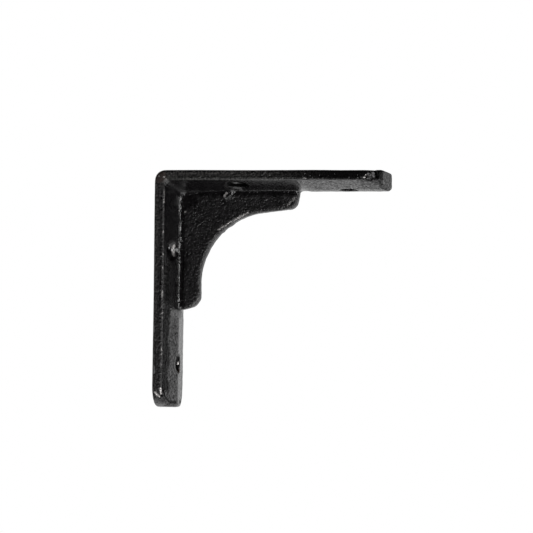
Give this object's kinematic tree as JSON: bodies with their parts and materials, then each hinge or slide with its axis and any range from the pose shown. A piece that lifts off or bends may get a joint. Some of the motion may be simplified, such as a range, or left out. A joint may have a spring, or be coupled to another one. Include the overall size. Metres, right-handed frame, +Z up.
{
  "type": "cast iron shelf bracket",
  "caption": "Black-painted cast-iron L-shaped shelf bracket with drafted plates, an arched web and countersunk screw holes.",
  "frame": {"origin": "middle of the back face of the wall plate, halfway up and halfway across its width", "axes": "+X out from the wall, +Z up towards the shelf, Y across the width"},
  "size_m": [0.0975, 0.032, 0.1],
  "materials": {
    "black_painted_iron": "satin black paint over rough sand-cast iron, worn to bare metal and a little rust along the edges"
  },
  "bodies": {
    "root": {"bracket": "black_painted_iron"}
  },
  "joints": []
}
